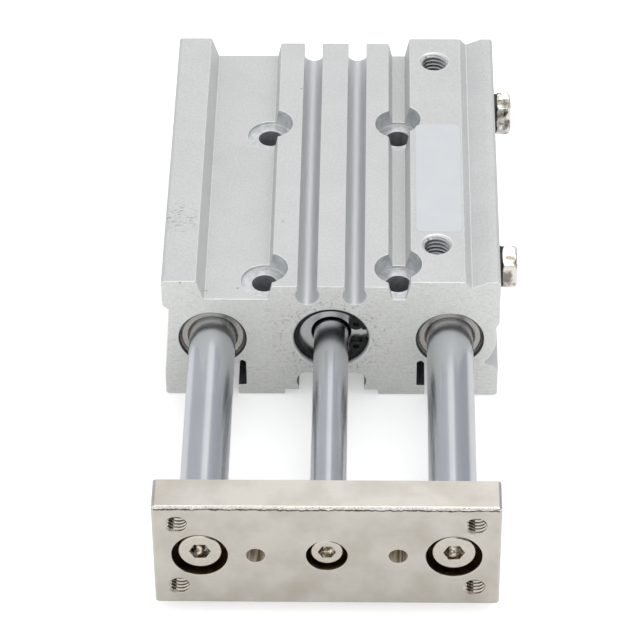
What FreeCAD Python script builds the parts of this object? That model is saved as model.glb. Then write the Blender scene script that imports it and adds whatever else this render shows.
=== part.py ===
"""Guided pneumatic cylinder: one piston rod between two guide rods, all bolted to a tooling plate.

X runs across the rods, Y from the tooling plate back through the body, and Z is up.
The origin is on the bottom of the body, in the middle of its four mounting holes.
The plate stands at the far end of its stroke, with the rods drawn out.
Lengths are in millimetres.
"""
import FreeCAD, Part
import math
import os
import Sketcher

Vector = FreeCAD.Vector

# Every driving dimension, by the alias it has in the sheet.
SIZES = {
    # Travel, and where the rods lie
    "stroke": 40.0,
    "closed_gap": 6.0,
    "guide_spacing": 41.0,
    # Outline of the body's extrusion
    "side_wall": 2.9,
    "body_height": 26.0,
    "corner_round": 0.6,
    "rib_drop": 1.1,
    "channel_depth": 4.0,
    "side_strip": 6.0,
    "wide_channel_right": 10.1,
    "wide_channel_slope": 1.25,
    "rib_side_slope": 0.65,
    "narrow_channel_left": 9.85,
    "narrow_channel_right": 13.65,
    "narrow_channel_slope": 0.85,
    "vee_land": 2.05,
    "vee_steep_side": 1.1,
    "vee_depth": 1.25,
    "foot_height": 1.07,
    "foot_reach": 8.2,
    "left_lip": 5.5,
    "left_recess": 1.1,
    "left_recess_end": 4.6,
    "right_lip": 9.3,
    "right_step": 0.5,
    "side_bevel": 1.0,
    "notch_depth": 2.4,
    "notch_wall_offset": 0.05,
    "notch_flat": 0.35,
    "notch_rise": 0.95,
    # Sensor grooves, two above and two below
    "sensor_offset": 4.05,
    "sensor_radius": 2.02,
    "sensor_drop": 2.0,
    "sensor_mouth": 3.3,
    # T-slots under the guide rods
    "slot_inward": 2.0,
    "slot_neck": 4.5,
    "slot_neck_depth": 2.2,
    "slot_width": 7.3,
    "slot_wall_drop": 5.5,
    "slot_shoulder": 0.7,
    "slot_roof_radius": 7.05,
    # Central bore and what closes it
    "bore": 12.0,
    "seat_bore": 13.0,
    "mouth_chamfer": 0.3,
    "ring_inset": 0.9,
    "ring_thickness": 1.0,
    "ring_bite": 0.4,
    "ring_band": 1.0,
    "ring_ear": 2.6,
    "ring_ear_reach": 5.0,
    "ring_ear_hole": 1.0,
    "ring_ear_angle": 31.0,
    "ring_gap": 2.6,
    "rear_recess": 1.5,
    "collar_length": 7.4,
    "cover_length": 4.0,
    "cover_dish": 0.8,
    "gasket": 0.9,
    "gasket_groove": 1.17,
    "gasket_inset": 2.6,
    "cover_gasket_inset": 1.4,
    "seal_width": 1.2,
    "seal_depth": 2.6,
    "collar_lip": 0.45,
    "collar_lip_length": 0.6,
    # Rods and guide bushes
    "piston_rod": 6.0,
    "guide_rod": 8.0,
    "rod_chamfer": 0.5,
    "running_clearance": 0.04,
    "guide_bore": 11.2,
    "guide_bore_depth": 27.5,
    "guide_mouth_chamfer": 0.35,
    "guide_clear_bore": 9.0,
    "bush_inset": 0.8,
    "bush_length": 10.0,
    "bush_chamfer": 0.35,
    # Piston
    "piston_gap": 0.3,
    "piston_side_gap": 0.3,
    "piston_length": 5.0,
    "piston_hub": 6.8,
    "piston_seal_width": 1.8,
    "piston_seal_depth": 1.2,
    "piston_spigot": 4.0,
    "magnet_length": 2.6,
    "magnet_holder": 1.8,
    "bumper": 1.6,
    "bumper_diameter": 10.0,
    "spigot_recess": 0.2,
    # Tooling plate and its bolts
    "plate_margin": 2.95,
    "plate_height": 22.0,
    "plate_thickness": 6.3,
    "plate_round": 0.6,
    "plate_edge": 0.25,
    "tool_inset": 4.0,
    "tool_tap": 3.3,
    "pin_offset": 11.5,
    "pin_hole": 3.0,
    "pin_depth": 4.8,
    "head_recess": 0.8,
    "thread_gap": 0.05,
    "guide_bolt_counterbore": 9.1,
    "guide_bolt_head": 7.3,
    "guide_bolt_head_height": 3.2,
    "guide_bolt_key": 3.0,
    "guide_bolt_key_depth": 1.8,
    "guide_bolt_core": 3.3,
    "guide_bolt_clear": 4.3,
    "guide_bolt_grip": 8.0,
    "guide_bolt_tap_depth": 10.0,
    "plate_bolt_counterbore": 6.7,
    "plate_bolt_head": 5.5,
    "plate_bolt_head_height": 2.6,
    "plate_bolt_key": 2.5,
    "plate_bolt_key_depth": 1.4,
    "plate_bolt_core": 2.5,
    "plate_bolt_clear": 3.4,
    "plate_bolt_grip": 6.0,
    "plate_bolt_tap_depth": 8.0,
    "bolt_edge": 0.45,
    # Mounting holes in the body
    "mount_front": 5.0,
    "mount_pitch_x": 23.0,
    "mount_pitch_y": 40.0,
    "mount_hole": 4.3,
    "mount_counterbore": 8.1,
    "mount_counterbore_depth": 4.6,
    "base_pin_depth": 4.0,
    "base_slot_length": 3.5,
    "rear_pitch_x": 50.0,
    "rear_pitch_z": 18.0,
    "rear_tap": 3.3,
    "rear_tap_depth": 10.0,
    # Ports and the plugs in the side ones
    "port_tap": 4.2,
    "port_chamfer": 0.6,
    "port_x": 18.2,
    "port_front": 10.1,
    "port_rear": 6.95,
    "port_depth": 5.5,
    "side_port_drop": 5.0,
    "side_port_depth": 6.5,
    "side_port_rear": 16.0,
    "passage": 1.6,
    "passage_land": 0.2,
    "passage_aim": 0.78,
    "plug_across_flats": 7.0,
    "plug_head": 2.6,
    "plug_chamfer": 0.6,
    "plug_shank": 4.5,
    "plug_turn_front": 42.0,
    "plug_turn_rear": 50.0,
    "plug_gasket": 0.45,
    "plug_gasket_width": 1.5,
}

doc = FreeCAD.newDocument("GuidedCylinder")
sheet = doc.addObject("Spreadsheet::Sheet", "Sizes")
for row, (alias, value) in enumerate(SIZES.items(), start=1):
    sheet.set(f"A{row}", alias.replace("_", " "))
    sheet.set(f"B{row}", str(value))
    sheet.setAlias(f"B{row}", alias)
doc.recompute()


class Size:
    """A number worked out from the sheet, with the sheet expression that gives it."""

    def __init__(self, value, text):
        self.value = value
        self.text = text

    def __add__(self, other):
        other = as_size(other)
        return Size(self.value + other.value, f"({self.text} + {other.text})")

    def __sub__(self, other):
        other = as_size(other)
        return Size(self.value - other.value, f"({self.text} - {other.text})")

    def __mul__(self, other):
        other = as_size(other)
        return Size(self.value * other.value, f"({self.text} * {other.text})")

    def __truediv__(self, other):
        other = as_size(other)
        return Size(self.value / other.value, f"({self.text} / {other.text})")

    def __neg__(self):
        return Size(-self.value, f"(-1 * {self.text})")


def as_size(number):
    return number if isinstance(number, Size) else Size(float(number), repr(float(number)))


def size(alias):
    return Size(float(sheet.get(alias)), f"Sizes.{alias}")


def leg(hypotenuse, side):
    """The other leg of a right-angled triangle."""
    value = math.sqrt(hypotenuse.value ** 2 - side.value ** 2)
    return Size(value, f"sqrt({hypotenuse.text} ^ 2 - {side.text} ^ 2)")


ZERO = as_size(0)

# Places that several pieces share. Depths run back from the front face of the body.
TOP = size("body_height")
AXIS = size("body_height") / 2
GUIDE_X = size("guide_spacing") / 2
HALF_WIDTH = GUIDE_X + size("guide_bore") / 2 + size("side_wall")
COLLAR_FRONT = size("ring_inset") + size("ring_thickness")
COLLAR_BACK = COLLAR_FRONT + size("collar_length")
STACK = size("bumper") * 2 + size("piston_length") + size("magnet_length") + size("magnet_holder")
PISTON_FRONT = COLLAR_BACK + size("piston_gap")
COVER_FRONT = PISTON_FRONT + STACK + size("stroke") + size("piston_gap")
COVER_BACK = COVER_FRONT + size("cover_length")
REAR_RING_BACK = COVER_BACK + size("ring_thickness")
LENGTH = REAR_RING_BACK + size("rear_recess")
PLATE_BACK = -(size("stroke") + size("closed_gap"))
FRONT_FACE = -(size("mount_front") + size("mount_pitch_y") / 2)
MOUNT_X = size("mount_pitch_x") / 2
PORT_REAR = LENGTH - size("port_rear")
SIDE_PORT_REAR = LENGTH - size("side_port_rear")
SIDE_PORT_Z = TOP - size("side_port_drop")


# ---- Sketches and features ----------------------------------------------------------------

def bind(item, path, length):
    """Tie one property to the sheet."""
    item.setExpression(path, length.text)


def new_body(label):
    body = doc.addObject("PartDesign::Body", label)
    body.Label = label
    return body


def place(body, x, depth, z, turn=None):
    """Put a finished piece where it belongs, its depth counted from the body's front face."""
    y = FRONT_FACE + depth
    body.Placement = FreeCAD.Placement(Vector(x.value, y.value, z.value), turn or FreeCAD.Rotation())
    bind(body, "Placement.Base.x", x)
    bind(body, "Placement.Base.y", y)
    bind(body, "Placement.Base.z", z)


def sketch_on(body, plane, name, shift=(ZERO, ZERO, ZERO), turn=None):
    """A sketch on one of the body's own planes, shifted along the plane's axes."""
    planes = {feature.Role: feature for feature in body.Origin.OriginFeatures}
    sketch = body.newObject("Sketcher::SketchObject", f"{body.Label}_{name}")
    sketch.AttachmentSupport = (planes[plane], [""])
    sketch.MapMode = "FlatFace"
    start = Vector(*[part.value for part in shift])
    sketch.AttachmentOffset = FreeCAD.Placement(start, turn or FreeCAD.Rotation())
    for axis, part in zip("xyz", shift):
        bind(sketch, f"AttachmentOffset.Base.{axis}", part)
    return sketch


def pin_point(sketch, item, end, place_u, place_v):
    """Fix one point of a sketch by its two distances from the sketch's origin."""
    for kind, part in (("DistanceX", place_u), ("DistanceY", place_v)):
        index = sketch.addConstraint(Sketcher.Constraint(kind, -1, 1, item, end, part.value))
        bind(sketch, f"Constraints[{index}]", part)


def arc_between(first, last, radius):
    """A short arc; it bulges to the right of its direction when the radius is positive."""
    a = Vector(first[0].value, first[1].value, 0)
    b = Vector(last[0].value, last[1].value, 0)
    chord = b - a
    normal = Vector(-chord.y, chord.x, 0).normalize()
    reach = math.sqrt(max(radius.value ** 2 - (chord.Length / 2) ** 2, 0.0))
    centre = (a + b) * 0.5 + normal * (reach if radius.value > 0 else -reach)
    circle = Part.Circle(centre, Vector(0, 0, 1), abs(radius.value))
    ends = (a, b) if radius.value > 0 else (b, a)
    angles = [math.atan2(end.y - centre.y, end.x - centre.x) for end in ends]
    if angles[1] < angles[0]:
        angles[1] += 2 * math.pi
    return Part.ArcOfCircle(circle, angles[0], angles[1])


def draw_outline(sketch, corners):
    """A closed outline. A corner with a third entry is reached by an arc of that radius."""
    starts, ends = [], []
    for index, corner in enumerate(corners):
        following = corners[(index + 1) % len(corners)]
        if len(following) == 3:
            item = sketch.addGeometry(arc_between(corner, following, following[2]), False)
            forward = following[2].value > 0
            starts.append((item, 1 if forward else 2))
            ends.append((item, 2 if forward else 1))
            index_radius = sketch.addConstraint(
                Sketcher.Constraint("Radius", item, abs(following[2].value)))
            bind(sketch, f"Constraints[{index_radius}]", following[2] if forward else -following[2])
        else:
            line = Part.LineSegment(Vector(corner[0].value, corner[1].value, 0),
                                    Vector(following[0].value, following[1].value, 0))
            item = sketch.addGeometry(line, False)
            starts.append((item, 1))
            ends.append((item, 2))
    for index, corner in enumerate(corners):
        item, end = starts[index]
        before, before_end = ends[index - 1]
        sketch.addConstraint(Sketcher.Constraint("Coincident", before, before_end, item, end))
        pin_point(sketch, item, end, corner[0], corner[1])


def draw_circle(sketch, u, v, diameter):
    item = sketch.addGeometry(
        Part.Circle(Vector(u.value, v.value, 0), Vector(0, 0, 1), diameter.value / 2), False)
    pin_point(sketch, item, 3, u, v)
    index = sketch.addConstraint(Sketcher.Constraint("Diameter", item, diameter.value))
    bind(sketch, f"Constraints[{index}]", diameter)


def draw_hexagon(sketch, across_flats):
    """A hexagon about the sketch's origin, one corner on its first axis."""
    flat = across_flats / 2
    corner = across_flats / math.sqrt(3)
    half = corner / 2
    draw_outline(sketch, [(corner, ZERO), (half, flat), (-half, flat),
                          (-corner, ZERO), (-half, -flat), (half, -flat)])


def pad(body, sketch, length, backwards=False):
    feature = body.newObject("PartDesign::Pad", f"{sketch.Name}_pad")
    feature.Profile = sketch
    feature.Length = length.value
    bind(feature, "Length", length)
    feature.Reversed = backwards
    doc.recompute()
    return feature


def cut(body, sketch, depth=None, backwards=False):
    """Pocket a sketch, right through when it has no depth. It has to take material away."""
    before = body.Shape.Volume
    feature = body.newObject("PartDesign::Pocket", f"{sketch.Name}_cut")
    feature.Profile = sketch
    if depth is None:
        feature.Type = "ThroughAll"
    else:
        feature.Length = depth.value
        bind(feature, "Length", depth)
    feature.Reversed = backwards
    doc.recompute()
    if not body.Shape.Volume < before:
        raise RuntimeError(f"{feature.Name} cuts nothing")
    return feature


def turn_solid(body, corners, name="profile"):
    """Revolve a half section, given as (radius, place along the axis), about the Y axis."""
    sketch = sketch_on(body, "XY_Plane", name)
    draw_outline(sketch, corners)
    feature = body.newObject("PartDesign::Revolution", f"{body.Label}_{name}_turned")
    feature.Profile = sketch
    feature.ReferenceAxis = (sketch, ["V_Axis"])
    feature.Angle = 360
    doc.recompute()
    return feature


def turn_cut(body, corners, name, x=ZERO, z=ZERO):
    """Bore a half section, given as (radius, place along the axis), about an axis along Y."""
    sketch = sketch_on(body, "XY_Plane", name, (x, ZERO, z))
    draw_outline(sketch, corners)
    before = body.Shape.Volume
    feature = body.newObject("PartDesign::Groove", f"{body.Label}_{name}_bored")
    feature.Profile = sketch
    feature.ReferenceAxis = (sketch, ["V_Axis"])
    feature.Angle = 360
    doc.recompute()
    if not body.Shape.Volume < before:
        raise RuntimeError(f"{feature.Name} cuts nothing")
    return feature


def dress(body, kind, name, length, wanted):
    """Round or chamfer the edges that pass a test."""
    base = body.Tip
    names = [f"Edge{index}" for index, edge in enumerate(base.Shape.Edges, start=1) if wanted(edge)]
    if not names:
        raise RuntimeError(f"{body.Label} {name} finds no edge")
    feature = body.newObject(f"PartDesign::{kind}", f"{body.Label}_{name}")
    feature.Base = (base, names)
    path = "Radius" if kind == "Fillet" else "Size"
    setattr(feature, path, length.value)
    bind(feature, path, length)
    doc.recompute()
    return feature


def near(first, second):
    return abs(first - second) < 1e-4


def runs_along_y(edge):
    ends = [vertex.Point for vertex in edge.Vertexes]
    return len(ends) == 2 and near(ends[0].x, ends[1].x) and near(ends[0].z, ends[1].z)


def is_circle(edge, diameter, axis, place_on_axis):
    """A whole or part circle of that diameter, centred at that place along the named axis."""
    curve = edge.Curve
    if not isinstance(curve, Part.Circle):
        return False
    return near(curve.Radius, diameter.value / 2) and near(getattr(curve.Center, axis), place_on_axis.value)


# ---- The body's extrusion ----------------------------------------------------------------

def cut_channels(body):
    """The wide and the narrow channel in the top, the lowered ribs between them and the V-groove."""
    over = TOP + 1
    floor = TOP - size("channel_depth")
    rib = TOP - size("rib_drop")
    slope = size("rib_side_slope")
    wide = sketch_on(body, "XZ_Plane", "wide_channel")
    left = size("side_strip") - HALF_WIDTH
    right = -size("wide_channel_right")
    draw_outline(wide, [(left, over), (left, TOP), (left + size("wide_channel_slope"), floor),
                        (right - slope, floor), (right, rib), (right, over)])
    cut(body, wide)
    narrow = sketch_on(body, "XZ_Plane", "narrow_channel")
    left = size("narrow_channel_left")
    right = size("narrow_channel_right")
    draw_outline(narrow, [(left, over), (left, rib), (left + slope, floor),
                          (right - size("narrow_channel_slope"), floor), (right, TOP), (right, over)])
    cut(body, narrow)
    ribs = sketch_on(body, "XZ_Plane", "ribs")
    low, high = -size("wide_channel_right"), size("narrow_channel_left")
    draw_outline(ribs, [(low, rib), (high, rib), (high, over), (low, over)])
    cut(body, ribs)
    vee = sketch_on(body, "XZ_Plane", "vee")
    left, right = HALF_WIDTH - size("side_strip"), HALF_WIDTH - size("vee_land")
    draw_outline(vee, [(left, over), (left, TOP), (left + size("vee_steep_side"), TOP - size("vee_depth")),
                       (right, TOP), (right, over)])
    cut(body, vee)


def cut_sides(body):
    """The shallow recess down the left side, and the step and notch down the right side."""
    outside = HALF_WIDTH + 1
    top = TOP - size("left_lip")
    recess = size("left_recess")
    left = sketch_on(body, "XZ_Plane", "left_side")
    draw_outline(left, [(-outside, top), (-HALF_WIDTH, top), (recess - HALF_WIDTH, top - size("side_bevel")),
                        (-HALF_WIDTH, size("left_recess_end")), (-outside, size("left_recess_end"))])
    cut(body, left)
    top = TOP - size("right_lip")
    stepped = HALF_WIDTH - size("right_step")
    wall = stepped - GUIDE_X + size("notch_wall_offset")
    arc_top = AXIS - leg(wall, stepped - GUIDE_X)
    vertex = HALF_WIDTH - size("notch_depth")
    arc_low = AXIS - leg(wall, vertex - GUIDE_X)
    foot = arc_low - size("notch_flat") - size("notch_rise")
    right = sketch_on(body, "XZ_Plane", "right_side")
    draw_outline(right, [(outside, top), (HALF_WIDTH, top), (stepped, top - size("side_bevel")),
                         (stepped, arc_top), (vertex, arc_low, -wall),
                         (vertex, arc_low - size("notch_flat")), (HALF_WIDTH, foot), (outside, foot)])
    cut(body, right)


def cut_underside(body):
    """The strip between the feet, and a T-slot under each guide rod."""
    reach = size("foot_reach")
    strip = sketch_on(body, "XZ_Plane", "strip")
    draw_outline(strip, [(-reach, as_size(-1)), (reach, as_size(-1)),
                         (reach, size("foot_height")), (-reach, size("foot_height"))])
    cut(body, strip)
    middle = GUIDE_X - size("slot_inward")
    for name, side in (("left", -1), ("right", 1)):
        neck_in = middle - size("slot_neck") / 2
        neck_out = middle + size("slot_neck") / 2
        inner = middle - size("slot_width") / 2
        outer = middle + size("slot_width") / 2
        roof = size("slot_roof_radius")
        shoulder = inner + size("slot_shoulder")
        corners = [(neck_in, as_size(-1)), (neck_in, size("slot_neck_depth")),
                   (inner, size("slot_neck_depth")), (inner, AXIS - size("slot_wall_drop")),
                   (shoulder, AXIS - leg(roof, GUIDE_X - shoulder)),
                   (outer, AXIS - leg(roof, outer - GUIDE_X), roof * side),
                   (outer, size("slot_neck_depth")), (neck_out, size("slot_neck_depth")),
                   (neck_out, as_size(-1))]
        slot = sketch_on(body, "XZ_Plane", f"slot_{name}")
        draw_outline(slot, [(corner[0] * side, *corner[1:]) for corner in corners])
        cut(body, slot)


def cut_sensor_grooves(body):
    """Round grooves with a narrow mouth, where proximity switches would slide in."""
    half = size("sensor_mouth") / 2
    radius = size("sensor_radius")
    rise = leg(radius, half)
    mouths = (("top", TOP - size("rib_drop"), 1), ("bottom", size("foot_height"), -1))
    for level, surface, way in mouths:
        centre_z = surface - size("sensor_drop") * way
        for name, side in (("left", -1), ("right", 1)):
            centre_x = size("sensor_offset") * side
            round_part = sketch_on(body, "XZ_Plane", f"groove_{level}_{name}")
            draw_circle(round_part, centre_x, centre_z, radius * 2)
            cut(body, round_part)
            mouth = sketch_on(body, "XZ_Plane", f"mouth_{level}_{name}")
            inside = centre_z + rise * way
            outside = surface + as_size(way)
            draw_outline(mouth, [(centre_x - half, inside), (centre_x + half, inside),
                                 (centre_x + half, outside), (centre_x - half, outside)])
            cut(body, mouth)


# ---- The body's bores and holes -----------------------------------------------------------

def bore_cylinder(body):
    """The stepped central bore: ring groove, collar seat, cylinder, cover seat and rear ring groove."""
    seat = size("seat_bore") / 2
    bore = size("bore") / 2
    groove = seat + size("ring_bite")
    chamfer = size("mouth_chamfer")
    turn_cut(body, [(ZERO, as_size(-1)), (seat + chamfer, as_size(-1)), (seat + chamfer, ZERO),
                    (seat, chamfer), (seat, size("ring_inset")), (groove, size("ring_inset")),
                    (groove, COLLAR_FRONT), (seat, COLLAR_FRONT), (seat, COLLAR_BACK),
                    (bore, COLLAR_BACK), (bore, COVER_FRONT), (seat, COVER_FRONT),
                    (seat, COVER_BACK), (groove, COVER_BACK), (groove, REAR_RING_BACK),
                    (seat, REAR_RING_BACK), (seat, LENGTH - chamfer), (seat + chamfer, LENGTH),
                    (seat + chamfer, LENGTH + 1), (ZERO, LENGTH + 1)], "cylinder_bore", z=AXIS)


def bore_guides(body):
    """A bore for the bushes of each guide rod, then a clear bore out through the rear face."""
    seat = size("guide_bore") / 2
    clear = size("guide_clear_bore") / 2
    chamfer = size("guide_mouth_chamfer")
    for name, side in (("left", -1), ("right", 1)):
        turn_cut(body, [(ZERO, as_size(-1)), (seat + chamfer, as_size(-1)), (seat + chamfer, ZERO),
                        (seat, chamfer), (seat, size("guide_bore_depth")),
                        (clear, size("guide_bore_depth")), (clear, LENGTH - chamfer),
                        (clear + chamfer, LENGTH), (clear + chamfer, LENGTH + 1), (ZERO, LENGTH + 1)],
                 f"guide_bore_{name}", x=GUIDE_X * side, z=AXIS)


def drill_mounts(body):
    """Counterbored through holes, with a pin hole and a pin slot between them underneath."""
    through = sketch_on(body, "XY_Plane", "mount_holes", (ZERO, ZERO, TOP))
    for depth in (size("mount_front"), size("mount_front") + size("mount_pitch_y")):
        for x in (-MOUNT_X, MOUNT_X):
            draw_circle(through, x, depth, size("mount_hole"))
    doc.recompute()
    hole = body.newObject("PartDesign::Hole", f"{body.Label}_counterbored")
    hole.Profile = through
    bind(hole, "Diameter", size("mount_hole"))
    hole.DepthType = "ThroughAll"
    hole.HoleCutType = "Counterbore"
    doc.recompute()
    bind(hole, "HoleCutDiameter", size("mount_counterbore"))
    bind(hole, "HoleCutDepth", size("mount_counterbore_depth"))
    doc.recompute()
    middle = size("mount_front") + size("mount_pitch_y") / 2
    half = size("pin_hole") / 2
    run = size("base_slot_length") / 2 - half
    pin = sketch_on(body, "XY_Plane", "base_pin")
    draw_circle(pin, -MOUNT_X, middle, size("pin_hole"))
    cut(body, pin, size("base_pin_depth"), backwards=True)
    slot = sketch_on(body, "XY_Plane", "base_slot")
    draw_outline(slot, [(MOUNT_X - run, middle - half, half), (MOUNT_X + run, middle - half),
                        (MOUNT_X + run + half, middle, half), (MOUNT_X + run, middle + half, half),
                        (MOUNT_X - run, middle + half), (MOUNT_X - run - half, middle, half)])
    cut(body, slot, size("base_pin_depth"), backwards=True)


def tap_rear(body):
    """Four tapped holes in the rear face."""
    x, z = size("rear_pitch_x") / 2, size("rear_pitch_z") / 2
    taps = sketch_on(body, "XZ_Plane", "rear_taps", (ZERO, ZERO, -LENGTH))
    for side_x in (-1, 1):
        for side_z in (-1, 1):
            draw_circle(taps, x * side_x, AXIS + z * side_z, size("rear_tap"))
    cut(body, taps, size("rear_tap_depth"), backwards=True)


def drill(body, name, start, end, diameter):
    """A straight passage between two points of the body."""
    points = [Vector(*[part.value for part in point]) for point in (start, end)]
    length = Size((points[1] - points[0]).Length,
                  "sqrt(" + " + ".join(f"({b.text} - {a.text}) ^ 2" for a, b in zip(start, end)) + ")")
    turn = FreeCAD.Rotation(Vector(0, 0, 1), points[0] - points[1])
    sketch = sketch_on(body, "XY_Plane", name, start, turn)
    draw_circle(sketch, ZERO, ZERO, diameter)
    cut(body, sketch, length)


def drill_ports(body):
    """Ports in the top and the right side for each end of the cylinder, and the air's way in."""
    tap = size("port_tap")
    tops = sketch_on(body, "XY_Plane", "top_ports", (ZERO, ZERO, TOP))
    sides = sketch_on(body, "YZ_Plane", "side_ports", (ZERO, ZERO, HALF_WIDTH))
    for depth in (size("port_front"), PORT_REAR):
        draw_circle(tops, size("port_x"), depth, tap)
    for depth in (size("port_front"), SIDE_PORT_REAR):
        draw_circle(sides, depth, SIDE_PORT_Z, tap)
    cut(body, tops, size("port_depth"))
    cut(body, sides, size("side_port_depth"))
    dress(body, "Chamfer", "port_mouths", size("port_chamfer"), lambda edge: is_circle(edge, tap, "z", TOP))
    passage = size("passage")
    inside = HALF_WIDTH - size("side_port_depth") + passage
    bore = size("bore") / 2
    port_floor = TOP - size("port_depth") + passage / 2
    aim_x, aim_z = bore / 2, AXIS + bore * size("passage_aim")
    land = passage / 2 + size("passage_land")
    drill(body, "front_passage", (inside, size("port_front"), SIDE_PORT_Z),
          (aim_x, COLLAR_BACK + land, aim_z), passage)
    drill(body, "rear_passage", (size("port_x"), PORT_REAR, port_floor),
          (aim_x, COVER_FRONT - land, aim_z), passage)
    drill(body, "rear_link", (inside, SIDE_PORT_REAR, SIDE_PORT_Z),
          (size("port_x"), PORT_REAR, port_floor), passage)


def make_body_block():
    body = new_body("body_block")
    outline = sketch_on(body, "XZ_Plane", "outline")
    draw_outline(outline, [(-HALF_WIDTH, ZERO), (HALF_WIDTH, ZERO), (HALF_WIDTH, TOP), (-HALF_WIDTH, TOP)])
    pad(body, outline, LENGTH, backwards=True)
    dress(body, "Fillet", "corners", size("corner_round"), runs_along_y)
    cut_channels(body)
    cut_sides(body)
    cut_underside(body)
    cut_sensor_grooves(body)
    bore_cylinder(body)
    bore_guides(body)
    drill_mounts(body)
    tap_rear(body)
    drill_ports(body)
    place(body, ZERO, ZERO, ZERO)


# ---- Pieces fixed in the body -------------------------------------------------------------

def make_bush(label, side, depth):
    """A plain bronze bush that carries a guide rod."""
    outer = size("guide_bore") / 2
    inner = size("guide_rod") / 2 + size("running_clearance")
    edge = size("bush_chamfer")
    length = size("bush_length")
    body = new_body(label)
    turn_solid(body, [(inner + edge, ZERO), (outer - edge, ZERO), (outer, edge), (outer, length - edge),
                      (outer - edge, length), (inner + edge, length), (inner, length - edge), (inner, edge)])
    place(body, GUIDE_X * side, depth, AXIS)


def gasket_groove(inset, outer):
    """Corners of a round-section gasket's groove, cut inwards from an outer radius."""
    width = size("gasket_groove")
    return [(outer, inset), (outer - size("gasket"), inset),
            (outer - size("gasket"), inset + width), (outer, inset + width)]


def make_collar():
    """The rod collar, which guides the piston rod and closes the front of the cylinder."""
    outer = size("seat_bore") / 2
    inner = size("piston_rod") / 2 + size("running_clearance")
    mouth = size("piston_rod") / 2 + size("collar_lip")
    recess = size("piston_rod") / 2 + size("seal_width")
    lip_back = size("collar_lip_length")
    edge = size("mouth_chamfer")
    body = new_body("rod_collar")
    turn_solid(body, [(recess, lip_back), (mouth, lip_back), (mouth, ZERO), (outer - edge, ZERO), (outer, edge)]
               + gasket_groove(size("gasket_inset"), outer)
               + [(outer, size("collar_length")), (inner, size("collar_length")),
                  (inner, size("seal_depth")), (recess, size("seal_depth"))])
    place(body, ZERO, COLLAR_FRONT, AXIS)


def make_rod_seal():
    """A lip seal in the collar's groove, behind the collar's front lip."""
    outer = size("piston_rod") / 2 + size("seal_width")
    lip = size("piston_rod") / 2 + size("running_clearance") / 2
    front, back = size("collar_lip_length"), size("seal_depth")
    middle = (front + back) / 2
    relief = lip + size("seal_width") / 3
    body = new_body("rod_seal")
    turn_solid(body, [(relief, front), (outer, front), (outer, back), (relief, back), (lip, middle)])
    place(body, ZERO, COLLAR_FRONT, AXIS)


def make_gasket(label, depth):
    """A round-section ring lying in a groove of the collar or the cover."""
    section = size("gasket") / 2
    centre_r = size("seat_bore") / 2 - section
    body = new_body(label)
    sketch = sketch_on(body, "XY_Plane", "section")
    draw_circle(sketch, centre_r, ZERO, size("gasket"))
    feature = body.newObject("PartDesign::Revolution", f"{label}_turned")
    feature.Profile = sketch
    feature.ReferenceAxis = (sketch, ["V_Axis"])
    feature.Angle = 360
    doc.recompute()
    place(body, ZERO, depth + size("gasket_groove") / 2, AXIS)


def make_head_cover():
    """The plug that closes the rear of the cylinder, dished behind."""
    outer = size("seat_bore") / 2
    length = size("cover_length")
    edge = size("mouth_chamfer")
    dish = outer - size("ring_band") * 2
    body = new_body("head_cover")
    turn_solid(body, [(ZERO, ZERO), (outer - edge, ZERO), (outer, edge)]
               + gasket_groove(size("cover_gasket_inset"), outer)
               + [(outer, length), (dish, length), (dish - size("cover_dish"), length - size("cover_dish")),
                  (ZERO, length - size("cover_dish"))])
    place(body, ZERO, COVER_FRONT, AXIS)


def make_retaining_ring(label, depth):
    """An internal retaining ring: open on the right, with an eared and drilled end each side."""
    outer = size("seat_bore") / 2 + size("ring_bite")
    inner = size("seat_bore") / 2 - size("ring_band")
    thickness = size("ring_thickness")
    body = new_body(label)
    band = sketch_on(body, "XZ_Plane", "band")
    draw_circle(band, ZERO, ZERO, outer * 2)
    draw_circle(band, ZERO, ZERO, inner * 2)
    pad(body, band, thickness, backwards=True)
    half = size("ring_gap") / 2
    gap = sketch_on(body, "XZ_Plane", "gap")
    draw_outline(gap, [(ZERO, -half), (outer + 1, -half), (outer + 1, half), (ZERO, half)])
    cut(body, gap)
    ears = sketch_on(body, "XZ_Plane", "ears")
    holes = sketch_on(body, "XZ_Plane", "ear_holes")
    angle = size("ring_ear_angle")
    reach = size("ring_ear_reach")
    u = reach * Size(math.cos(math.radians(angle.value)), f"cos({angle.text} * 1 deg)")
    v = reach * Size(math.sin(math.radians(angle.value)), f"sin({angle.text} * 1 deg)")
    for side in (-1, 1):
        draw_circle(ears, u, v * side, size("ring_ear"))
        draw_circle(holes, u, v * side, size("ring_ear_hole"))
    pad(body, ears, thickness, backwards=True)
    cut(body, holes)
    place(body, ZERO, depth, AXIS)


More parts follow.
